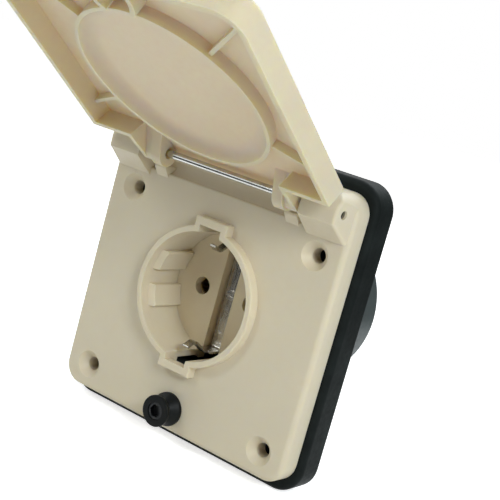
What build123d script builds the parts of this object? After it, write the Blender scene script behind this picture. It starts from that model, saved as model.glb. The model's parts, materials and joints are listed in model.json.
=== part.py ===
from build123d import *
import os
from math import cos, hypot, radians, sin, tan

# Flush-mounting outdoor socket with a hinged lid, in millimetres.
# The front faces -Y and +Z is up. The origin is on the axis of the socket well, in the plane of the
# panel that the gasket lies on. Depths are measured towards the front from that plane.

# Front plate
plate_size = 88.4
plate_trim = 1.1
plate_depth = 7.0
plate_draft = 1.5
plate_corner = 6.5
plate_edge = 1.8
plate_wall = 3.0
plate_skirt = 2.6

# Flange gasket
gasket_lip_side = 2.1
gasket_lip_end = 3.6
gasket_thickness = 9.5
gasket_corner = 8.5
gasket_edge = 2.0

# Panel screw holes, from the edges of the plate
hole_inset_side = 9.6
hole_inset_top = 19.95
hole_inset_bottom = 7.85
hole_d = 4.4
sink_d = 8.7
sink_depth = 2.6
hole_boss_d = 9.4

# Collar and well
well_d = 39.0
well_depth = 17.5
collar_height = 3.4
collar_wall = 1.9
collar_edge = 0.5
bump_width = 12.0
bump_out = 2.4
notch_width = 7.8
notch_out = 1.8
window_wall = 0.8
guide_height = 1.8
guide_lead = 1.2
guide_slot = 4.8
guide_span = 18.0
guide_setback = 3.4
guide_round = 0.6

# Hinge, from the top edge and the sides of the plate
hinge_front = 4.5
hinge_inset = 5.9
rod_d = 2.4
rod_recess = 0.5
rod_clearance = 0.05
post_width = 14.2
post_front = 7.8
post_draft = 8.0
post_height = 14.6
post_shoulder = 9.1
post_edge = 1.2
trough_height = 12.7
trough_floor = 1.8
trough_gap = 0.7
trough_edge = 1.0
ledge_front = 2.3
ledge_height = 2.3
ledge_tip = 0.6
ledge_inset = 1.5
ledge_gap = 0.3

# Lid
lid_open = 123.0
lid_inset = 0.7
lid_overhang = 1.8
lid_depth = 8.2
lid_gap = 0.5
lid_post_gap = 1.5
lid_lean = 2.4
lid_draft = 1.5
lid_skirt = 1.7
lid_panel = 1.7
lid_edge = 1.8
lid_corner = 8.0
ring_gap = 0.8
ring_wall = 1.2
ring_setback = 3.0
dish_flank = 5.5
rib_wall = 1.2
rib_setback = 4.0
hinge_rib_angle = 27.0
corner_rib_angle = 43.0
knuckle_width = 7.8
knuckle_side_gap = 1.2
knuckle_barrel = 3.6
knuckle_step = 0.75
knuckle_web = 1.5
knuckle_mouth_d = 3.4
knuckle_mouth_depth = 1.0
gusset_reach = 9.0
tab_gap = 3.0
jaw_gap = 0.9
jaw_wall = 1.6
jaw_setback = 1.5
jaw_half_angle = 50.0

# Catch knob and its screw
knob_inset = 6.7
knob_d = 9.7
knob_base_d = 10.4
knob_waist_d = 6.4
knob_gap = 0.5
knob_rim = 1.0
knob_edge = 0.4
knob_boss_d = 8.0
catch_screw_d = 3.0
catch_head_d = 5.2
catch_head_h = 2.6
catch_head_recess = 0.3
catch_socket_af = 3.6
catch_socket_depth = 1.9
catch_screw_bite = 3.5

# Rear housing
barrel_gap = 0.6
barrel_wall = 1.8
barrel_length = 46.0
barrel_edge = 2.5
barrel_end = 2.5
flange_width = 6.2
flange_thickness = 2.6
flange_clearance = 0.5
seat_wall = 2.0
housing_screw_inset = 2.7
housing_screw_d = 2.6
housing_head_d = 4.6
housing_head_h = 1.8
housing_boss_d = 5.8
housing_screw_bite = 5.0

# Cable grommet
grommet_bore_d = 7.2
grommet_neck_d = 13.0
grommet_flange_d = 17.0
grommet_flange = 1.6
grommet_nose_d = 10.4
grommet_nose = 4.5
grommet_clearance = 0.05

# Contact base
base_rim = 1.1
base_lap = 1.0
base_flange = 3.0
base_depth = 15.4
pin_span = 19.0
pin_hole_d = 5.6
contact_clearance = 0.2
strap_clearance = 0.6
groove_depth = 3.7
base_notch_inset = 0.2
barrier_wall = 1.2
barrier_height = 16.0
cover_post_d = 5.6
cover_post_gap = 0.8
base_screw_out = 1.0
base_screw_d = 2.2
base_head_d = 4.4
base_head_h = 1.6
base_boss_d = 5.0
base_screw_bite = 6.0
screw_clearance = 0.1

# Earth bracket
strap_width = 5.0
strap_thickness = 0.8
clip_width = 2.2
clip_root_depth = 11.0
clip_foot_inset = 1.5
clip_foot_depth = 9.8
clip_apex_inset = 5.2
clip_apex_depth = 3.4
clip_tip_inset = 3.5
clip_tip_depth = 0.6
clip_bend = 1.2
clip_bow = 2.4
mark_depth = 0.3
oval_mark = (2.6, 5.2)
oval_mark_drop = 10.0
square_mark = (2.2, 2.8)
square_mark_drop = 14.6
earth_screw_d = 2.0
earth_head_d = 3.2
earth_head_h = 0.8
earth_screw_bite = 2.4

# Contacts and terminals
contact_d = 8.2
contact_bore_d = 4.9
contact_slit = 0.8
contact_slit_depth = 9.0
pillar_width = 7.0
earth_pillar_width = 6.4
pillar_height = 9.0
pillar_depth = 9.0
wire_hole_d = 3.4
wire_hole_depth = 6.2
wire_hole_drop = 1.4
terminal_screw_d = 2.5
terminal_screw_inset = 3.6
terminal_head_d = 4.2
terminal_head_h = 1.5
slot_width = 0.6
slot_depth = 0.7
cover_inset = 0.4
cover_thickness = 2.4
cover_wire_d = 4.2
cover_screw_d = 2.2
cover_head_d = 4.2
cover_head_h = 1.5
cover_screw_bite = 6.0

# Depths that several pieces share
plate_back = gasket_thickness
plate_face = plate_back + plate_depth
plate_inside = plate_face - plate_wall
collar_front = plate_face + collar_height
floor_depth = collar_front - well_depth
base_back = floor_depth - base_depth
terminal_back = base_back - pillar_depth
cover_back = terminal_back - cover_thickness
flange_back = plate_back - flange_thickness
hinge_depth = plate_face + hinge_front
lid_rim = plate_face + lid_gap
lid_face = lid_rim + lid_depth
lid_inside = lid_face - lid_panel
ring_rim = lid_rim + ring_setback
knob_front = lid_inside - knob_gap
trough_low = plate_back + trough_gap + trough_floor
strap_seat = floor_depth - groove_depth

# Sizes and places that several pieces share
plate_half = plate_size / 2
plate_bottom = plate_half - plate_trim
plate_height = plate_half + plate_bottom
plate_rise = (plate_half - plate_bottom) / 2
gasket_width = plate_size + 2 * gasket_lip_side
gasket_height = plate_height + 2 * gasket_lip_end
well_r = well_d / 2
collar_r = well_r + collar_wall
base_d = well_d + 2 * base_rim
base_flange_d = 2 * (collar_r + base_lap)
base_screw_radius = base_flange_d / 2 + base_screw_out
barrel_d = 2 * (base_screw_radius + base_boss_d / 2 + barrel_gap + barrel_wall)
flange_d = barrel_d + 2 * flange_width
cover_post_x = pin_span / 2 + pillar_width / 2 + cover_post_gap + cover_post_d / 2
hinge_height = plate_half - hinge_inset
post_inner = plate_half - post_width
post_outer = plate_half - (hinge_depth - plate_back) * tan(radians(post_draft))
post_foot = plate_half - post_height
knuckle_outer = post_inner - knuckle_side_gap
knuckle_inner = knuckle_outer - knuckle_width
trough_foot = plate_half - trough_height
lid_width = plate_size - 2 * lid_inset
lid_free_end = plate_bottom + lid_overhang
lid_hinge_end = post_foot - lid_post_gap
knob_drop = plate_bottom - knob_inset
ring_r = knob_drop - knob_d / 2 - ring_gap
hinge_axis = Axis((0, -hinge_depth, hinge_height), (-1, 0, 0))
screw_holes = [
    (side * (plate_half - hole_inset_side), height)
    for side in (-1, 1)
    for height in (hole_inset_bottom - plate_bottom, plate_half - hole_inset_top)
]
screw_reach = (flange_d / 2 - housing_screw_inset) * cos(radians(45))
housing_screw_places = [(x * screw_reach, z * screw_reach) for x in (-1, 1) for z in (-1, 1)]
base_screw_places = [(side * base_screw_radius, 0) for side in (-1, 1)]
cover_post_places = [(side * cover_post_x, 0) for side in (-1, 1)]
far = 2 * gasket_height


def prism(sketch, start, stop, taper=0):
    """Extrudes a sketch of the front view between two depths."""
    return extrude(Plane.XZ.offset(start) * sketch, amount=stop - start, taper=taper)


def side_bar(sketch, left, right):
    """Extrudes a sketch of the side view, drawn as (depth, height), between two values of x."""
    plane = Plane(origin=(right, 0, 0), x_dir=(0, -1, 0), z_dir=(-1, 0, 0))
    return extrude(plane * sketch, amount=right - left)


def side_shape(*points):
    """Closed outline in the side view, from (depth, height) points."""
    return make_face(Polyline(*points, close=True))


def turned(*points):
    """Solid of revolution about the well's axis, from (radius, depth) points."""
    outline = Polyline(*[(radius, -depth, 0) for radius, depth in points], close=True)
    return revolve(make_face(outline), Axis.Y)


def rod(diameter, start, stop, place=(0, 0)):
    """Round bar along the depth, at a place in the front view."""
    return prism(Pos(*place) * Circle(diameter / 2), start, stop)


def block(low, high, start, stop):
    """Box from the lower to the upper corner in the front view, between two depths."""
    width, height = high[0] - low[0], high[1] - low[1]
    middle = ((low[0] + high[0]) / 2, (low[1] + high[1]) / 2)
    return prism(Pos(*middle) * Rectangle(width, height), start, stop)


def mirrored(part):
    """The part and its image on the other side of the plane of symmetry."""
    return part + mirror(part, Plane.YZ)


def headed_screw(shank_d, head_d, head_h, seat, bite, place):
    """Slotted pan-head screw driven towards the front from its seat."""
    top = seat - head_h
    screw = rod(head_d, top, seat, place) + rod(shank_d, seat, seat + bite, place)
    return screw - prism(Pos(*place) * Rectangle(2 * head_d, slot_width), top, top + slot_depth)


def edges_at_depth(part, depth):
    """Edges that lie wholly at one depth."""
    return part.edges().filter_by_position(Axis.Y, -depth - 1e-3, -depth + 1e-3)


def plate_outline(inset=0):
    """Outline of the plate in the front view, drawn in by an inset."""
    size = (plate_size - 2 * inset, plate_height - 2 * inset)
    return Pos(0, plate_rise) * RectangleRounded(*size, plate_corner - inset)


def hinge_post():
    """Right-hand post, which leans in from the side of the plate."""
    nose = plate_face + post_front
    lean = (nose - plate_back) * tan(radians(post_draft))
    sides = make_face(Polyline(
        (0, -plate_back),
        (plate_half, -plate_back),
        (plate_half - lean, -nose),
        (0, -nose),
        close=True,
    ))
    envelope = prism(plate_outline(), plate_back, nose, plate_draft) & extrude(sides, amount=plate_size)
    top = plate_half - (nose - plate_back) * tan(radians(plate_draft))
    crown = top - hinge_height
    outline = Polyline(
        (nose - crown, top),
        (plate_inside, top),
        (plate_inside, post_foot),
        (plate_face, post_foot),
        (nose, plate_half - post_shoulder),
        (nose, hinge_height),
    )
    crown_arc = RadiusArc((nose, hinge_height), (nose - crown, top), -crown)
    post = side_bar(make_face([outline, crown_arc]), post_inner, plate_size) & envelope
    outer = post.edges().filter_by(lambda e: -e.center().Y > plate_face + 1)
    outer = outer.filter_by(lambda e: min(v.X for v in e.vertices()) > post_inner + 1)
    return fillet(outer, post_edge)


def front_plate():
    slab = prism(plate_outline(), plate_back, plate_face, plate_draft)
    slab = fillet(edges_at_depth(slab, plate_face), plate_edge)
    slab -= prism(plate_outline(plate_skirt), plate_back, plate_inside)

    # Trough between the posts, with its own floor behind the front wall and a ledge under each knuckle
    trough_side = post_inner + plate_skirt
    low, high = (-trough_side, trough_foot - plate_skirt), (trough_side, plate_half - plate_skirt / 2)
    slab += block(low, high, trough_low - trough_floor, plate_inside)
    slab += mirrored(hinge_post())
    slab -= block((-post_inner, trough_foot), (post_inner, far), trough_low, far)
    lip = edges_at_depth(slab, plate_face).filter_by(Axis.X)
    slab = fillet(lip.filter_by(lambda e: abs(e.center().Z - trough_foot) < 0.01), trough_edge)
    slab += mirrored(trough_ledge())

    # Bosses and the seat of the rear housing
    seat_r = barrel_d / 2 + seat_wall / 2
    seat = Circle(seat_r) - Circle(seat_r - seat_wall)
    slab += prism(seat, plate_back, plate_inside)
    for place in screw_holes:
        slab += rod(hole_boss_d, plate_back, plate_inside, place)
    for place in housing_screw_places:
        slab += rod(housing_boss_d, plate_back, plate_inside, place)
    slab += rod(knob_boss_d, plate_face - catch_screw_bite - plate_wall, plate_inside, (0, -knob_drop))

    # Collar and tube of the well
    bump = Rectangle(bump_width, 2 * (collar_r + bump_out))
    tube = prism(Circle(collar_r) + bump, floor_depth, collar_front)
    tube = fillet(edges_at_depth(tube, collar_front), collar_edge)
    for place in base_screw_places:
        tube += rod(base_boss_d, floor_depth, plate_inside, place)
    slab += tube
    notch = Rectangle(notch_width, 2 * (well_r + notch_out))
    slab -= prism(Circle(well_r) + notch, floor_depth, collar_front)
    for out, front in ((bump_out, plate_inside), (bump_out - window_wall, plate_face)):
        slab -= prism(Rectangle(notch_width, 2 * (collar_r + out)), floor_depth, front)
    slab += mirrored(well_guide())

    # Holes
    for place in screw_holes:
        slab -= rod(hole_d, plate_back, plate_face, place)
        sink = Plane.XZ.offset(plate_face - sink_depth / 2) * Pos(*place)
        slab -= sink * Cone(hole_d / 2, sink_d / 2, sink_depth)
    for place in housing_screw_places:
        slab -= rod(housing_screw_d + screw_clearance, plate_back, plate_back + housing_screw_bite, place)
    for place in base_screw_places:
        slab -= rod(base_screw_d + screw_clearance, floor_depth, floor_depth + base_screw_bite, place)
    slab -= rod(catch_screw_d + screw_clearance, plate_face - catch_screw_bite, plate_face, (0, -knob_drop))
    rod_hole = Pos(hinge_depth, hinge_height) * Circle(rod_d / 2 + rod_clearance)
    return slab - side_bar(rod_hole, -plate_size, plate_size)


def trough_ledge():
    """Right-hand ledge under a knuckle, with room for the knuckle's web between it and the post."""
    low, high = trough_foot - trough_edge, trough_foot + ledge_height
    nose = plate_face + ledge_front
    profile = side_shape(
        (trough_low, low),
        (plate_face, low),
        (nose, high - ledge_tip),
        (nose, high),
        (trough_low, high),
    )
    return side_bar(profile, knuckle_inner + ledge_inset, knuckle_outer - knuckle_web - ledge_gap)


def well_guide():
    """Right-hand guide of the well: a raised band with a sloped lead-in, split by a slot."""
    reach = well_r + collar_wall / 2
    inner = well_r - guide_height
    front = collar_front - guide_setback
    band = turned(
        (reach, floor_depth),
        (inner, floor_depth),
        (inner, front - guide_lead),
        (well_r, front),
        (reach, front),
    )
    guide = band & block((0, -guide_span / 2), (well_d, guide_span / 2), floor_depth, front)
    guide -= block((0, -guide_slot / 2), (well_d, guide_slot / 2), floor_depth, front)
    lips = guide.edges().filter_by(Axis.Y).filter_by(lambda e: hypot(e.center().X, e.center().Z) < well_r)
    return fillet(lips, guide_round)


def flange_gasket():
    outline = Pos(0, plate_rise) * RectangleRounded(gasket_width, gasket_height, gasket_corner)
    gasket = prism(outline, 0, gasket_thickness)
    gasket = fillet(edges_at_depth(gasket, gasket_thickness), gasket_edge)
    gasket -= rod(flange_d + 2 * flange_clearance, 0, gasket_thickness)
    for place in screw_holes:
        gasket -= rod(hole_d, 0, gasket_thickness, place)
    return gasket


def rear_housing():
    housing = rod(barrel_d, -barrel_length, plate_back)
    housing = fillet(edges_at_depth(housing, -barrel_length), barrel_edge)
    housing += rod(flange_d, flange_back, plate_back)
    housing -= rod(barrel_d - 2 * barrel_wall, barrel_end - barrel_length, plate_back)
    housing -= rod(grommet_neck_d + 2 * grommet_clearance, -barrel_length, barrel_end - barrel_length)
    for place in housing_screw_places:
        housing -= rod(housing_screw_d + screw_clearance, flange_back, plate_back, place)
    return housing


def cable_grommet():
    outer = -barrel_length - grommet_clearance
    inner = barrel_end - barrel_length + grommet_clearance
    bore, neck, flange = grommet_bore_d / 2, grommet_neck_d / 2, grommet_flange_d / 2
    return turned(
        (bore, inner + grommet_flange),
        (flange, inner + grommet_flange),
        (flange, inner),
        (neck, inner),
        (neck, outer),
        (flange, outer),
        (flange, outer - grommet_flange),
        (grommet_nose_d / 2, outer - grommet_flange - grommet_nose),
        (bore, outer - grommet_flange - grommet_nose),
    )


def lid_closed():
    """The lid as it lies over the plate, before it is swung open."""
    plan = Pos(0, (far - lid_free_end) / 2) * Rectangle(lid_width, far + lid_free_end)
    plan = fillet(plan.vertices().group_by(Axis.Y)[0], lid_corner)
    end_slope = lid_lean / lid_depth

    def behind_hinge_end(inset):
        """Everything on the lid's side of its leaning hinge-end wall."""
        return side_bar(side_shape(
            (lid_rim, lid_hinge_end - inset),
            (lid_face, lid_hinge_end - inset + lid_depth * end_slope),
            (lid_face, -far),
            (lid_rim, -far),
        ), -far, far)

    shell = prism(plan, lid_rim, lid_face, lid_draft) & behind_hinge_end(0)
    shell = fillet(edges_at_depth(shell, lid_face), lid_edge)
    outside = shell
    hollow = prism(offset(plan, -lid_skirt), lid_rim, lid_inside) & behind_hinge_end(lid_skirt)
    shell -= hollow

    # The hinge end is open between the webs of the knuckles, where a tab carries the panel on
    gap = knuckle_outer - knuckle_web
    shell -= block((-gap, lid_hinge_end - lid_skirt), (gap, far), lid_rim, lid_inside)
    tab_low, tab_high = lid_hinge_end - lid_skirt, hinge_height - tab_gap
    shell += block((-knuckle_outer, tab_low), (knuckle_outer, tab_high), lid_inside, lid_face)
    shell += mirrored(lid_knuckle())

    # Ring wall with its dished inside, and the ribs round it
    ribs = lid_ribs() & outside
    shell += ribs + rod(2 * ring_r, ring_rim, lid_inside) + catch_jaws()
    shell -= dish()
    hole = Pos(hinge_depth, hinge_height) * Circle(rod_d / 2 + rod_clearance)
    return shell - side_bar(hole, -post_inner, post_inner)


def dish():
    """Round hollow inside the ring, with a concave flank down to its flat floor."""
    inner = ring_r - ring_wall
    flat = inner - dish_flank
    walls = Polyline(
        (inner, -ring_rim, 0),
        (inner, -lid_rim, 0),
        (0, -lid_rim, 0),
        (0, -lid_inside, 0),
        (flat, -lid_inside, 0),
    )
    flank = TangentArc((flat, -lid_inside, 0), (inner, -ring_rim, 0), tangent=(1, 0, 0))
    return revolve(make_face([walls, flank]), Axis.Y)


def lid_ribs():
    ribs = Part()
    length = lid_width - 2 * ring_r + ring_wall
    for angle in (hinge_rib_angle, -corner_rib_angle):
        rib = Rot(0, 0, angle) * Pos(lid_width / 2, 0) * Rectangle(length, rib_wall)
        ribs += mirrored(prism(rib, lid_rim + rib_setback, lid_inside))
    return ribs


def lid_knuckle():
    """Right-hand knuckle: a stepped barrel round the rod on a gusset, with a web at its outer end."""
    axis = Pos(hinge_depth, hinge_height)
    barrel_r = lid_face - hinge_depth
    small_r = barrel_r - knuckle_step
    foot = hinge_height - gusset_reach
    seat = Line((lid_inside, foot), (lid_face, foot)) + Line((lid_face, foot), (lid_face, hinge_height))
    step = knuckle_inner + knuckle_barrel
    knuckle = side_bar(make_hull((axis * Circle(barrel_r)).edges() + seat.edges()), knuckle_inner, step)
    knuckle += side_bar(make_hull((axis * Circle(small_r)).edges() + seat.edges()), step, knuckle_outer)
    web = axis * Circle(small_r) + side_shape(
        (hinge_depth - small_r, hinge_height),
        (lid_face, hinge_height),
        (lid_face, lid_hinge_end),
        (lid_rim, lid_hinge_end),
    )
    knuckle += side_bar(web, knuckle_outer - knuckle_web, knuckle_outer)
    mouth = axis * Circle(knuckle_mouth_d / 2)
    return knuckle - side_bar(mouth, knuckle_inner, knuckle_inner + knuckle_mouth_depth)


def catch_jaws():
    """Two curved jaws inside the lid, one each side of the knob."""
    inner = knob_d / 2 + jaw_gap
    ring = Circle(inner + jaw_wall) - Circle(inner)
    reach = 2 * knob_d
    across, along = reach * cos(radians(jaw_half_angle)), reach * sin(radians(jaw_half_angle))
    wedge = make_face(Polyline((0, 0), (across, along), (across, -along), close=True))
    sides = (ring & wedge) + (ring & mirror(wedge, Plane.YZ))
    return prism(Pos(0, -knob_drop) * sides, lid_rim + jaw_setback, lid_inside)


def hinge_rod():
    half = post_outer - rod_recess
    return side_bar(Pos(hinge_depth, hinge_height) * Circle(rod_d / 2), -half, half)


def catch_knob():
    rim, base, waist = knob_d / 2, knob_base_d / 2, knob_waist_d / 2
    groove = (plate_face + knob_front) / 2
    knob = turned(
        (0, plate_face),
        (base, plate_face),
        (base, plate_face + knob_rim),
        (waist, groove),
        (rim, knob_front - knob_rim),
        (rim, knob_front),
        (0, knob_front),
    )
    knob = fillet(edges_at_depth(knob, knob_front), knob_edge)
    seat = knob_front - catch_head_recess - catch_head_h
    knob -= rod(catch_screw_d + screw_clearance, plate_face, seat)
    knob -= rod(catch_head_d + 2 * screw_clearance, seat, knob_front)
    return Pos(0, 0, -knob_drop) * knob


def catch_screw():
    top = knob_front - catch_head_recess
    seat = top - catch_head_h
    screw = rod(catch_head_d, seat, top) + rod(catch_screw_d, plate_face - catch_screw_bite, seat)
    socket = RegularPolygon(catch_socket_af / 2, 6, major_radius=False)
    screw -= prism(socket, top - catch_socket_depth, top)
    return Pos(0, 0, -knob_drop) * screw


def contact_base():
    base = rod(base_d, base_back, floor_depth) + rod(base_flange_d, floor_depth - base_flange, floor_depth)
    for place in base_screw_places:
        base += rod(base_boss_d, floor_depth - base_flange, floor_depth, place)
    for side in (-1, 1):
        middle = side * (earth_pillar_width / 2 + pin_span / 2 - pillar_width / 2) / 2
        barrier = Pos(middle, 0) * Rectangle(barrier_wall, barrier_height)
        base += prism(barrier, terminal_back, base_back)
    for place in cover_post_places:
        base += rod(cover_post_d, terminal_back, base_back, place)
    groove = Rectangle(strap_width + 2 * strap_clearance, 2 * base_d)
    base -= prism(groove, strap_seat, floor_depth)
    notch_inner = well_r - base_notch_inset
    for side in (-1, 1):
        pin = (side * pin_span / 2, 0)
        base -= rod(pin_hole_d, floor_depth - base_flange, floor_depth, pin)
        base -= rod(contact_d + 2 * contact_clearance, base_back, floor_depth - base_flange, pin)
        notch_low, notch_high = sorted((side * notch_inner, side * base_flange_d))
        base -= block((-notch_width / 2, notch_low), (notch_width / 2, notch_high), base_back, floor_depth)
    for place in cover_post_places:
        base -= rod(cover_screw_d + screw_clearance, terminal_back, terminal_back + cover_screw_bite, place)
    for place in base_screw_places:
        base -= rod(base_screw_d + screw_clearance, floor_depth - base_flange, floor_depth, place)
    return base - rod(earth_screw_d + screw_clearance, base_back, strap_seat)


def earth_bracket():
    """Folded strip: the strap along the groove and a bowed clip at each end."""
    strap_middle = strap_seat + strap_thickness / 2
    clip_foot = well_r - clip_foot_inset
    route = FilletPolyline(
        (strap_middle, 0),
        (strap_middle, clip_foot),
        (plate_face - clip_foot_depth, clip_foot),
        (plate_face - clip_apex_depth, well_r - clip_apex_inset),
        (plate_face - clip_tip_depth, well_r - clip_tip_inset),
        radius=(clip_bend, clip_bend, clip_bow),
    )
    strip = make_face(offset(route, strap_thickness / 2, side=Side.BOTH).edges())
    root = plate_face - clip_root_depth
    foot = side_bar(strip, -strap_width / 2, strap_width / 2) & rod(2 * well_d, strap_seat, root)
    half = foot + side_bar(strip, -clip_width / 2, clip_width / 2)
    strap = Rectangle(strap_width, 2 * (clip_foot - clip_bend))
    bracket = prism(strap, strap_seat, strap_seat + strap_thickness) + half + mirror(half, Plane.XY)
    strap_front = strap_seat + strap_thickness
    marks = Pos(0, -oval_mark_drop) * RectangleRounded(*oval_mark, radius=0.45 * oval_mark[0])
    marks += Pos(0, -square_mark_drop) * Rectangle(*square_mark)
    bracket -= prism(marks, strap_front - mark_depth, strap_front)
    return bracket - rod(earth_screw_d + screw_clearance, strap_seat, strap_front)


def earth_screw():
    seat = strap_seat + strap_thickness
    top = seat + earth_head_h
    screw = rod(earth_screw_d, base_back - earth_screw_bite, seat) + rod(earth_head_d, seat, top)
    return screw - prism(Rectangle(2 * earth_head_d, slot_width), top - earth_head_h / 2, top)


def pillar(x, width):
    """Brass pillar terminal behind the base, with its wire hole and clamping-screw hole."""
    half = pillar_height / 2
    body = block((x - width / 2, -half), (x + width / 2, half), terminal_back, base_back)
    body -= rod(wire_hole_d, terminal_back, terminal_back + wire_hole_depth, (x, -wire_hole_drop))
    hole = Plane.XY.offset(-wire_hole_drop) * Pos(x, -terminal_back - terminal_screw_inset)
    return body - extrude(hole * Circle((terminal_screw_d + screw_clearance) / 2), amount=pillar_height)


def pin_contact(side):
    """Slit sleeve that grips a pin, in one piece with its pillar terminal."""
    x = side * pin_span / 2
    front = floor_depth - base_flange
    sleeve = rod(contact_d, base_back, front, (x, 0)) - rod(contact_bore_d, base_back, front, (x, 0))
    slit = Rectangle(contact_slit, contact_d) + Rectangle(contact_d, contact_slit)
    sleeve -= prism(Pos(x, 0) * slit, front - contact_slit_depth, front)
    return sleeve + pillar(x, pillar_width)


def earth_terminal():
    screw_hole = rod(earth_screw_d + screw_clearance, base_back - earth_screw_bite, base_back)
    return pillar(0, earth_pillar_width) - screw_hole


def terminal_screw(x):
    """Slotted clamping screw, driven down into a pillar."""
    top = pillar_height / 2
    place = Pos(x, -terminal_back - terminal_screw_inset)
    tip = wire_hole_d / 2 - wire_hole_drop
    screw = extrude(Plane.XY.offset(tip) * place * Circle(terminal_screw_d / 2), amount=top - tip)
    screw += extrude(Plane.XY.offset(top) * place * Circle(terminal_head_d / 2), amount=terminal_head_h)
    slot_floor = Plane.XY.offset(top + terminal_head_h - slot_depth) * place
    return screw - extrude(slot_floor * Rectangle(terminal_head_d, slot_width), amount=slot_depth)


def terminal_cover():
    cover = rod(base_d - 2 * cover_inset, cover_back, terminal_back)
    for x in (-pin_span / 2, 0, pin_span / 2):
        cover -= rod(cover_wire_d, cover_back, terminal_back, (x, -wire_hole_drop))
    for place in cover_post_places:
        cover -= rod(cover_screw_d + screw_clearance, cover_back, terminal_back, place)
    return cover


def screw_group(places, shank_d, head_d, head_h, seat, bite):
    group = [headed_screw(shank_d, head_d, head_h, seat, bite, place) for place in places]
    return Compound(children=group)


def cover_screws():
    bite = cover_thickness + cover_screw_bite
    return screw_group(cover_post_places, cover_screw_d, cover_head_d, cover_head_h, cover_back, bite)


def base_screws():
    seat = floor_depth - base_flange
    bite = base_flange + base_screw_bite
    return screw_group(base_screw_places, base_screw_d, base_head_d, base_head_h, seat, bite)


def housing_screws():
    bite = flange_thickness + housing_screw_bite
    return screw_group(
        housing_screw_places, housing_screw_d, housing_head_d, housing_head_h, flange_back, bite
    )


parts = {
    "front_plate": front_plate(),
    "lid": lid_closed().rotate(hinge_axis, lid_open),
    "hinge_rod": hinge_rod(),
    "catch_knob": catch_knob(),
    "catch_screw": catch_screw(),
    "flange_gasket": flange_gasket(),
    "rear_housing": rear_housing(),
    "cable_grommet": cable_grommet(),
    "contact_base": contact_base(),
    "earth_bracket": earth_bracket(),
    "earth_screw": earth_screw(),
    "live_contact": pin_contact(-1),
    "neutral_contact": pin_contact(1),
    "earth_terminal": earth_terminal(),
    "live_terminal_screw": terminal_screw(-pin_span / 2),
    "neutral_terminal_screw": terminal_screw(pin_span / 2),
    "earth_terminal_screw": terminal_screw(0),
    "terminal_cover": terminal_cover(),
    "cover_screws": cover_screws(),
    "base_screws": base_screws(),
    "housing_screws": housing_screws(),
}

os.makedirs("parts", exist_ok=True)
for name, part in parts.items():
    export_step(part, f"parts/{name}.step")
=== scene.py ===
import json
from math import asin, atan2, cos, pi, radians, sin

import bmesh
import bpy
from mathutils import Matrix, Vector


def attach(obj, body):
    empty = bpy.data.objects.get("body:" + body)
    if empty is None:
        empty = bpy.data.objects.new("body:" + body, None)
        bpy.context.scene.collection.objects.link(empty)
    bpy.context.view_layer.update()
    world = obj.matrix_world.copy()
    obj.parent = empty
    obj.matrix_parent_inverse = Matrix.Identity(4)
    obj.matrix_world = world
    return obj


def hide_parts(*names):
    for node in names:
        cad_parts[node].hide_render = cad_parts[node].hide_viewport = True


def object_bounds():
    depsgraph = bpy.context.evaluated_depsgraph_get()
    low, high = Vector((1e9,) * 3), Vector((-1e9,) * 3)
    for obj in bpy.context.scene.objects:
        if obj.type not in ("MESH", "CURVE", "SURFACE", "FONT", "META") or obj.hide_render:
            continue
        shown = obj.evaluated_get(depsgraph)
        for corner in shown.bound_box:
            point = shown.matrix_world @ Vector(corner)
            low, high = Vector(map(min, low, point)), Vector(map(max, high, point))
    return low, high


# Outdoor socket with its lid open, in metres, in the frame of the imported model
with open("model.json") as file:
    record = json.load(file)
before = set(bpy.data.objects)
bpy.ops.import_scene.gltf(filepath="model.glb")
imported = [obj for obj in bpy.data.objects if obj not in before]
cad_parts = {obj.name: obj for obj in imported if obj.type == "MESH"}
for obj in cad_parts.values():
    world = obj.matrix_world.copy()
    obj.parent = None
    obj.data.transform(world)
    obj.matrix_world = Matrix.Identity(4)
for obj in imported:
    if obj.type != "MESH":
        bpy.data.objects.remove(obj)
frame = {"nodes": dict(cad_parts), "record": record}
cad_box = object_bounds()
MM = 0.001
UP = Vector((0.0, 0.0, 1.0))
WHITE = (1.0, 1.0, 1.0, 1.0)

# Windows of the earth clips, open sideways behind the plate's wall
WINDOW_HALF = 6.3 * MM
WINDOW_RADII = (21.45 * MM, 24.5 * MM)
WINDOW_DEPTHS = (2.0 * MM, 13.3 * MM)
WINDOW_STEPS = 8

# Tab of the lid's panel that runs on past the hinge rod, where it lies when the lid is closed
TAB_HALF = 20.99 * MM
TAB_DEPTHS = (23.51 * MM, 25.19 * MM)
TAB_HEIGHTS = (34.0 * MM, 42.8 * MM)
TAB_EDGE = 0.7 * MM
TAB_EDGE_STEPS = 4

# Rounded foot of the trough between the hinge posts; its lip and its arc's middle are (depth, height)
FOOT_HALF = 30.1 * MM
FOOT_BACK = 11.9 * MM
FOOT_LOW = 30.3 * MM
FOOT_LIP = (16.52 * MM, 32.0 * MM)
FOOT_LIP_EDGE = 0.6 * MM
FOOT_LIP_CUT = 0.3
FOOT_MIDDLE = (21.0 * MM, 39.2 * MM)
FOOT_STEPS = 12

# Meshes: points that count as one, and angles in degrees between faces that are one plane or one round
SAME_POINT = 0.001 * MM
SAME_PLANE = 1.0
SAME_ROUND = 33.0

# Materials
NOISE_RANGE = (0.3, 0.7)
LINE_STRETCH = 0.03
EDGE_SAMPLES = 6
MIX_COLORS = (6, 7)
MIX_RESULT = 2
STAGE_ROUGHNESS = 0.9

# Camera at the photograph's angle
CAMERA_PLACE = Vector((0.19153, -0.29085, 0.07346))
CAMERA_RIGHT = Vector((0.7841, 0.5617, 0.2638)).normalized()
CAMERA_DOWN = Vector((0.3105, 0.0130, -0.9505)).normalized()
CAMERA_LENS = 82.0
CAMERA_SENSOR = 36.0
CAMERA_NEAR = 0.01

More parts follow.
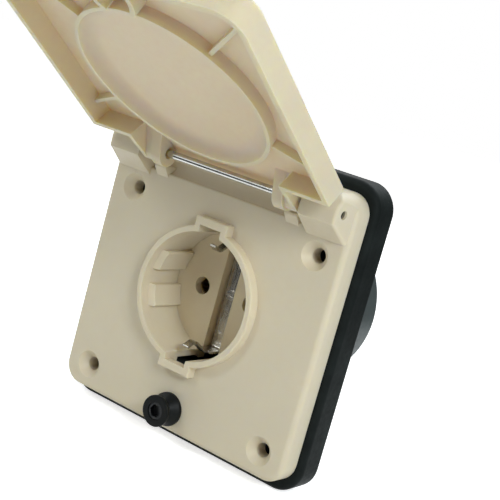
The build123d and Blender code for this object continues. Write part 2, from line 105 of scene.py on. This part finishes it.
# Light
WORLD_LIGHT = 0.03
BACKGROUND_WHITE = 1.0
LAMPS = {
    # name: (place, size, watts)
    "key_light": ((0.54, -0.32, 0.36), 0.25, 2.85),
    "fill_light": ((-0.30, -0.55, 0.42), 0.25, 1.25),
    "low_light": ((-0.36, -0.58, 0.10), 0.25, 0.10),
    "back_light": ((0.0, 0.45, 0.55), 0.50, 2.75),
    "right_light": ((0.65, 0.0, 0.10), 0.50, 0.62),
    "left_light": ((-0.50, -0.10, 0.45), 0.50, 1.05),
}
LAMP_TARGET = Vector((0.0, -0.02, 0.01))
LAMP_COLOR = (0.89, 0.965, 1.0)

# Dark cards that only reflections show
CARDS = {
    # name: (direction from the object, foot and top as (distance, height), width)
    "front_card": ((-0.526, -0.850), (0.13, -0.047), (0.26, 0.05), 0.50),
    "side_card": ((0.545, 0.839), (0.20, -0.046), (0.24, 0.20), 0.60),
}
CARD_COLOR = (0.02, 0.022, 0.022)

# Floor, whose glow grows with the distance from the object
FLOOR_SIZE = 6.0
FLOOR_DROP = 0.2 * MM
FLOOR_GLOW = (0.7, 1.0)
FLOOR_GLOW_REACH = (0.12, 0.55)
FLOOR_COLOR = (0.93, 0.93, 0.93)


class Shader:
    """A material with its Principled shader and short ways to add nodes to it."""

    def __init__(self, name, color, roughness, metallic=0.0):
        self.material = bpy.data.materials.new(name)
        self.material.use_nodes = True
        self.tree = self.material.node_tree
        self.principled = self.tree.nodes["Principled BSDF"]
        self.set(Base_Color=(*color, 1.0), Metallic=metallic, Roughness=roughness)
        self.coordinates = self.add("ShaderNodeTexCoord")
        self.place = self.coordinates.outputs["Object"]

    def add(self, kind, **settings):
        node = self.tree.nodes.new(kind)
        for key, value in settings.items():
            setattr(node, key, value)
        return node

    def link(self, output, socket):
        self.tree.links.new(output, socket)

    def set(self, **values):
        """Sets sockets of the shader, with underscores for spaces."""
        for key, value in values.items():
            self.principled.inputs[key.replace("_", " ")].default_value = value

    def stretched(self, scale):
        """Object coordinates scaled along each axis."""
        mapping = self.add("ShaderNodeMapping")
        mapping.inputs["Scale"].default_value = scale
        self.link(self.place, mapping.inputs["Vector"])
        return mapping.outputs["Vector"]

    def noise(self, grain, detail=3.0, rough=0.55, place=None):
        """Noise whose blotches are about one grain across."""
        node = self.add("ShaderNodeTexNoise")
        node.inputs["Scale"].default_value = 1.0 / grain
        node.inputs["Detail"].default_value = detail
        node.inputs["Roughness"].default_value = rough
        self.link(place or self.place, node.inputs["Vector"])
        return node.outputs["Fac"]

    def specks(self, spacing, size):
        """Small round specks: 1 inside a speck and 0 outside."""
        cells = self.add("ShaderNodeTexVoronoi")
        cells.inputs["Scale"].default_value = 1.0 / spacing
        self.link(self.place, cells.inputs["Vector"])
        return self.spread(cells.outputs["Distance"], (size, 0.6 * size))

    def facing_sideways(self):
        """1 on faces across the X axis and 0 on the others."""
        parts = self.add("ShaderNodeSeparateXYZ")
        self.link(self.coordinates.outputs["Normal"], parts.inputs["Vector"])
        size = self.add("ShaderNodeMath", operation="ABSOLUTE")
        self.link(parts.outputs["X"], size.inputs[0])
        return self.spread(size.outputs["Value"], (0.80, 0.95))

    def spread(self, value, source, target=(0.0, 1.0)):
        """Maps a value from one range to another."""
        node = self.add("ShaderNodeMapRange")
        names = ("From Min", "From Max", "To Min", "To Max")
        for name, number in zip(names, (*source, *target)):
            node.inputs[name].default_value = number
        self.link(value, node.inputs["Value"])
        return node.outputs["Result"]

    def times(self, first, second):
        node = self.add("ShaderNodeMath", operation="MULTIPLY")
        self.link(first, node.inputs[0])
        self.link(second, node.inputs[1])
        return node.outputs["Value"]

    def mix(self, factor, *colors):
        """Mixes two colours, each a tuple or another node's output."""
        node = self.add("ShaderNodeMix", data_type="RGBA")
        self.link(factor, node.inputs["Factor"])
        for index, color in zip(MIX_COLORS, colors):
            if isinstance(color, tuple):
                node.inputs[index].default_value = (*color, 1.0)
            else:
                self.link(color, node.inputs[index])
        return node.outputs[MIX_RESULT]

    def color(self, output):
        self.link(output, self.principled.inputs["Base Color"])

    def roughness(self, value, low, high):
        self.link(self.spread(value, NOISE_RANGE, (low, high)), self.principled.inputs["Roughness"])

    def relief(self, *layers, edge):
        """Bump from (height, depth in metres) layers, over edges rounded by a small radius."""
        rounding = self.add("ShaderNodeBevel", samples=EDGE_SAMPLES)
        rounding.inputs["Radius"].default_value = edge
        normal = rounding.outputs["Normal"]
        for height, depth in layers:
            bump = self.add("ShaderNodeBump")
            bump.inputs["Strength"].default_value = 1.0
            bump.inputs["Distance"].default_value = depth
            self.link(height, bump.inputs["Height"])
            self.link(normal, bump.inputs["Normal"])
            normal = bump.outputs["Normal"]
        self.link(normal, self.principled.inputs["Normal"])


def scaled(color, *factors):
    """Colour times one factor, or times a factor for each channel."""
    if len(factors) == 1:
        factors = factors * len(color)
    return tuple(factor * channel for factor, channel in zip(factors, color))


def ivory_plastic(name, color, glow):
    """Moulded ivory plastic that light sinks into, with a fine sparked grain."""
    s = Shader(name, color, 0.48)
    s.set(Subsurface_Weight=glow, Subsurface_Radius=(1.0, 0.72, 0.2), Subsurface_Scale=4.5 * MM)
    s.set(IOR=1.5, Specular_IOR_Level=0.25)
    cloud = s.noise(38 * MM)
    mottle = s.noise(2.2 * MM)
    tone = s.mix(s.spread(cloud, NOISE_RANGE), scaled(color, 0.965), scaled(color, 1.03))
    warm = scaled(color, 1.0, 0.965, 0.90)
    s.color(s.mix(s.spread(mottle, (0.45, 0.8), (0.0, 0.45)), tone, warm))
    s.roughness(mottle, 0.42, 0.54)
    s.relief((s.noise(0.22 * MM, 2.0), 0.010 * MM), (s.noise(1.6 * MM), 0.012 * MM), edge=0.2 * MM)
    return s.material


def black_rubber(name, color):
    """Smooth moulded rubber with a faint bloom and a few specks of dust."""
    s = Shader(name, color, 0.5)
    s.set(Specular_IOR_Level=0.04, Sheen_Weight=0.08, Sheen_Roughness=0.3)
    bloom = s.noise(9 * MM)
    tone = s.mix(s.spread(bloom, (0.35, 0.75)), color, scaled(color, 1.9))
    dusty = s.spread(s.noise(20 * MM), (0.45, 0.6), (0.0, 0.7))
    dust = s.times(s.specks(4.5 * MM, 0.055), dusty)
    s.color(s.mix(dust, tone, (0.045, 0.045, 0.042)))
    s.roughness(s.noise(1.2 * MM), 0.44, 0.60)
    s.relief((s.noise(0.35 * MM, 2.0), 0.014 * MM), (s.noise(5 * MM), 0.03 * MM), edge=0.5 * MM)
    return s.material


def dark_plastic(name, color, low, high, gloss):
    """Dark moulded plastic with flow marks and a fine grain."""
    s = Shader(name, color, (low + high) / 2)
    s.set(Specular_IOR_Level=gloss)
    flow = s.noise(12 * MM, place=s.stretched((1.0, 0.35, 1.0)))
    s.color(s.mix(s.spread(flow, (0.35, 0.7)), scaled(color, 0.86), scaled(color, 1.22)))
    s.roughness(s.noise(1.4 * MM), low, high)
    s.relief((s.noise(0.25 * MM, 2.0), 0.010 * MM), (s.noise(2.5 * MM), 0.012 * MM), edge=0.3 * MM)
    return s.material


def drawn_metal(name, color, low, high, stretch, tarnish_and_reflection=None, end_grey=None):
    """Metal with fine drawing lines along one axis, light patchy tarnishing and an optional darker grey on
    faces across X; on the nickel the brown patches are partly a painted reflection of the ivory well.
    """
    s = Shader(name, color, (low + high) / 2, metallic=1.0)
    lines = s.noise(0.16 * MM, 2.0, place=s.stretched(stretch))
    patches = s.noise(3.5 * MM)
    tone = s.mix(s.spread(lines, (0.35, 0.65)), scaled(color, 0.93), scaled(color, 1.04))
    # Patchy tarnishing; on the nickel strap these brown patches are partly a painted reflection of the
    # ivory well.
    tarnish_and_reflection_patches = s.spread(patches, (0.5, 0.72), (0.0, 0.6))
    tone = s.mix(tarnish_and_reflection_patches, tone, tarnish_and_reflection or scaled(color, 0.72))
    # Faces across X, the rod's two ends, get a darker grey than the rest of the metal.
    if end_grey:
        tone = s.mix(s.facing_sideways(), tone, end_grey)
    s.color(tone)
    s.roughness(lines, low, high)
    s.relief((lines, 0.0012 * MM), (patches, 0.004 * MM), edge=0.15 * MM)
    return s.material


def dress():
    """Gives every node of the model its material."""
    along_x = (LINE_STRETCH, 1.0, 1.0)
    along_y = (1.0, LINE_STRETCH, 1.0)
    along_z = (1.0, 1.0, LINE_STRETCH)
    plate = ivory_plastic("ivory_plastic", (0.700, 0.607, 0.450), glow=0.25)
    lid = ivory_plastic("ivory_lid", (0.705, 0.612, 0.460), glow=0.9)
    # A darker, warmer copy of the ivory: painted shade for the contact base at the bottom of the well.
    base = ivory_plastic("base_plastic", (0.685, 0.575, 0.395), glow=0.25)
    rubber = black_rubber("black_rubber", (0.0080, 0.0098, 0.0092))
    grey = dark_plastic("grey_plastic", (0.062, 0.072, 0.070), 0.36, 0.50, gloss=0.30)
    black = dark_plastic("black_plastic", (0.0065, 0.0075, 0.0070), 0.34, 0.46, gloss=0.10)
    # The hinge rod's ends, the faces across X, are a darker grey.
    bright = drawn_metal("bright_steel", (0.54, 0.535, 0.51), 0.10, 0.24, along_x, end_grey=(0.22, 0.22, 0.21))
    dark = drawn_metal("black_steel", (0.030, 0.031, 0.032), 0.30, 0.42, along_y)
    # The nickel's warm base colour and brown patches are partly a painted reflection of the ivory well,
    # besides real tarnishing.
    nickel = drawn_metal("nickel", (0.47, 0.45, 0.41), 0.20, 0.34, along_z, (0.32, 0.25, 0.15))
    zinc = drawn_metal("screw_zinc", (0.56, 0.56, 0.54), 0.28, 0.44, along_y, (0.44, 0.40, 0.30))
    # Brass colour darkened below bare brass: painted shade for the contacts deep in the pin holes.
    brass = drawn_metal("brass", (0.40, 0.27, 0.10), 0.34, 0.48, along_y, (0.16, 0.10, 0.04))
    looks = {
        plate: ["front_plate"],
        lid: ["lid"],
        base: ["contact_base"],
        rubber: ["flange_gasket", "cable_grommet"],
        grey: ["rear_housing", "terminal_cover"],
        black: ["catch_knob"],
        bright: ["hinge_rod"],
        dark: ["catch_screw"],
        nickel: ["earth_bracket", "earth_screw"],
        zinc: [
            "cover_screws", "base_screws", "housing_screws",
            "live_terminal_screw", "neutral_terminal_screw", "earth_terminal_screw",
        ],
        brass: ["live_contact", "neutral_contact", "earth_terminal"],
    }
    for material, names in looks.items():
        for name in names:
            slots = frame["nodes"][name].data.materials
            slots.clear()
            slots.append(material)


def placed(name, data):
    """Object in the scene with this data."""
    thing = bpy.data.objects.new(name, data)
    bpy.context.scene.collection.objects.link(thing)
    return thing


def new_object(name, shape):
    """Object from a bmesh."""
    mesh = bpy.data.meshes.new(name)
    bmesh.ops.recalc_face_normals(shape, faces=shape.faces)
    shape.to_mesh(mesh)
    shape.free()
    return placed(name, mesh)


def rectangle(name, corners, shader):
    """Object of one face, for the floor and the cards."""
    mesh = bpy.data.meshes.new(name)
    mesh.from_pydata(corners, [], [(0, 1, 2, 3)])
    mesh.materials.append(shader.material)
    return placed(name, mesh)


def add_prism(shape, outlines):
    """Adds a closed prism between two outlines to a bmesh."""
    rings = [[shape.verts.new(point) for point in outline] for outline in outlines]
    for ring in rings:
        shape.faces.new(ring)
    first, last = rings
    for i in range(len(first)):
        shape.faces.new((first[i - 1], first[i], last[i], last[i - 1]))


def window_cutter():
    """What is cut away beside the notch at the top and the bottom of the well's tube."""
    inner, outer = WINDOW_RADII
    reach = asin(WINDOW_HALF / inner)
    turns = [reach * (2 * step / WINDOW_STEPS - 1) for step in range(WINDOW_STEPS + 1)]
    outline = [(inner * sin(turn), inner * cos(turn)) for turn in turns]
    outline += [(WINDOW_HALF, outer), (-WINDOW_HALF, outer)]
    shape = bmesh.new()
    for side in (-1, 1):
        add_prism(shape, [[(x, -depth, side * z) for x, z in outline] for depth in WINDOW_DEPTHS])
    return new_object("window_cutter", shape)


def lid_tab():
    """Plate that carries the lid's panel on behind the hinge rod, swung open with the lid."""
    shape = bmesh.new()
    corners = [
        shape.verts.new((x, -depth, height))
        for x in (-TAB_HALF, TAB_HALF) for depth in TAB_DEPTHS for height in TAB_HEIGHTS
    ]
    bmesh.ops.convex_hull(shape, input=corners)
    bmesh.ops.dissolve_limit(shape, angle_limit=radians(SAME_PLANE), verts=shape.verts, edges=shape.edges)
    top = max(TAB_HEIGHTS)
    long_ends = [
        edge for edge in shape.edges
        if edge.calc_length() > TAB_HALF and all(abs(v.co.z - top) < SAME_POINT for v in edge.verts)
    ]
    bmesh.ops.bevel(
        shape, geom=long_ends, offset=TAB_EDGE, segments=TAB_EDGE_STEPS, profile=0.5, affect="EDGES")
    hinge = frame["record"]["behaviour"]["joints"][0]
    pivot = Vector(hinge["pos_m"])
    swing = Matrix.Rotation(radians(hinge["range_deg"][0]), 4, "X")
    about_hinge = Matrix.Translation(pivot) @ swing @ Matrix.Translation(-pivot)
    bmesh.ops.transform(shape, matrix=about_hinge, verts=shape.verts)
    return new_object("lid_tab", shape)


def trough_foot():
    """Fill that rounds the foot of the trough from its lip up to its back wall."""
    depth, height = FOOT_LIP
    middle_depth, middle_height = FOOT_MIDDLE
    cut = FOOT_LIP_CUT * FOOT_LIP_EDGE
    start = Vector((depth - 2 * FOOT_LIP_EDGE - middle_depth, height - middle_height))
    first = atan2(start.y, start.x)
    turns = [first + (-pi - first) * step / FOOT_STEPS for step in range(FOOT_STEPS + 1)]
    profile = [
        (FOOT_BACK, FOOT_LOW),
        (depth, FOOT_LOW),
        (depth, height - FOOT_LIP_EDGE),
        (depth - cut, height - cut),
        (depth - FOOT_LIP_EDGE, height),
    ]
    for turn in turns:
        profile.append((middle_depth + start.length * cos(turn), middle_height + start.length * sin(turn)))
    profile.append((FOOT_BACK, middle_height))
    shape = bmesh.new()
    add_prism(shape, [[(x, -f, z) for f, z in profile] for x in (-FOOT_HALF, FOOT_HALF)])
    return new_object("trough_foot", shape)


def apply_modifiers(piece):
    graph = bpy.context.evaluated_depsgraph_get()
    mesh = bpy.data.meshes.new_from_object(piece.evaluated_get(graph))
    piece.modifiers.clear()
    piece.data = mesh


def smooth_normals(mesh):
    """Shades round faces smooth and keeps flat ones flat: large faces lead at each corner."""
    around = [[] for _ in mesh.vertices]
    for face in mesh.polygons:
        for vertex in face.vertices:
            around[vertex].append(face)
    limit = cos(radians(SAME_ROUND))
    normals = []
    for face in mesh.polygons:
        for vertex in face.vertices:
            near = [other for other in around[vertex] if other.normal.dot(face.normal) > limit]
            total = sum((other.normal * other.area for other in near), face.normal * face.area)
            normals.append(total.normalized())
    mesh.shade_smooth()
    mesh.normals_split_custom_set(normals)


def reshaped(node, name, body, changes):
    """Copy of a node with tools cut from it or joined to it, which stands for the node."""
    source = frame["nodes"][node]
    shape = bmesh.new()
    shape.from_mesh(source.data)
    bmesh.ops.remove_doubles(shape, verts=shape.verts, dist=SAME_POINT)
    piece = new_object(name, shape)
    for operation, tool in changes:
        change = piece.modifiers.new("change", "BOOLEAN")
        change.operation = operation
        change.solver = "EXACT"
        change.object = tool
        apply_modifiers(piece)
        bpy.data.objects.remove(tool)
    smooth_normals(piece.data)
    piece.data.materials.clear()
    piece.data.materials.append(source.data.materials[0])
    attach(piece, body)
    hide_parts(node)


def seen_directly(tree):
    """1 on rays from the camera, a reflection or glass, and 0 on rays that carry light."""
    rays = tree.nodes.new("ShaderNodeLightPath")
    seen = rays.outputs["Is Camera Ray"]
    for name in ("Is Glossy Ray", "Is Transmission Ray"):
        either = tree.nodes.new("ShaderNodeMath")
        either.operation = "MAXIMUM"
        tree.links.new(seen, either.inputs[0])
        tree.links.new(rays.outputs[name], either.inputs[1])
        seen = either.outputs["Value"]
    return seen


def background():
    """World that lights evenly and looks white, also in metal."""
    world = bpy.data.worlds.new("studio")
    bpy.context.scene.world = world
    world.use_nodes = True
    tree = world.node_tree
    shade = tree.nodes["Background"]
    shade.inputs["Color"].default_value = WHITE
    strength = tree.nodes.new("ShaderNodeMapRange")
    strength.inputs["To Min"].default_value = WORLD_LIGHT
    strength.inputs["To Max"].default_value = BACKGROUND_WHITE
    tree.links.new(seen_directly(tree), strength.inputs["Value"])
    tree.links.new(strength.outputs["Result"], shade.inputs["Strength"])


def lamps():
    """Round soft lamps, all turned to the object."""
    for name, (place, size, watts) in LAMPS.items():
        data = bpy.data.lights.new(name, "AREA")
        data.shape = "DISK"
        data.size = size
        data.energy = watts
        data.color = LAMP_COLOR
        lamp = placed(name, data)
        lamp.location = place
        aim = LAMP_TARGET - Vector(place)
        lamp.rotation_mode = "QUATERNION"
        lamp.rotation_quaternion = aim.to_track_quat("-Z", "Y")


def floor():
    """Pale floor under the object: white to the camera, with the object's shadow kept."""
    s = Shader("floor", FLOOR_COLOR, STAGE_ROUGHNESS)
    s.set(Emission_Color=WHITE)
    distance = s.add("ShaderNodeVectorMath", operation="LENGTH")
    s.link(s.place, distance.inputs[0])
    whiter = s.spread(distance.outputs["Value"], FLOOR_GLOW_REACH, FLOOR_GLOW)
    s.link(s.times(seen_directly(s.tree), whiter), s.principled.inputs["Emission Strength"])
    bottom = cad_box[0].z - FLOOR_DROP
    half = FLOOR_SIZE / 2
    corners = [(-half, -half, bottom), (half, -half, bottom), (half, half, bottom), (-half, half, bottom)]
    rectangle("floor", corners, s)


def dark_cards():
    """Leaning dark cards at the front left and the back right, which metal and rubber reflect."""
    shader = Shader("dark_card", CARD_COLOR, STAGE_ROUGHNESS)
    for name, (direction, foot, top, width) in CARDS.items():
        side = Vector((*direction, 0.0)).normalized()
        across = side.cross(UP) * width / 2
        low, high = (side * distance + UP * height for distance, height in (foot, top))
        card = rectangle(name, [low - across, low + across, high + across, high - across], shader)
        card.visible_camera = False
        card.visible_diffuse = False
        card.visible_shadow = False


def camera():
    data = bpy.data.cameras.new("camera")
    data.lens = CAMERA_LENS
    data.sensor_width = CAMERA_SENSOR
    data.clip_start = CAMERA_NEAR
    viewer = placed("camera", data)
    forward = CAMERA_RIGHT.cross(CAMERA_DOWN).normalized()
    down = forward.cross(CAMERA_RIGHT)
    turn = Matrix((CAMERA_RIGHT, -down, -forward)).transposed()
    viewer.matrix_world = Matrix.Translation(CAMERA_PLACE) @ turn.to_4x4()
    bpy.context.scene.camera = viewer


dress()
plate_changes = [("DIFFERENCE", window_cutter()), ("UNION", trough_foot())]
reshaped("front_plate", "front_plate_open", "housing", plate_changes)
reshaped("lid", "lid_with_tab", "lid", [("UNION", lid_tab())])
background()
lamps()
floor()
dark_cards()
camera()
bpy.context.scene.view_settings.view_transform = "Standard"
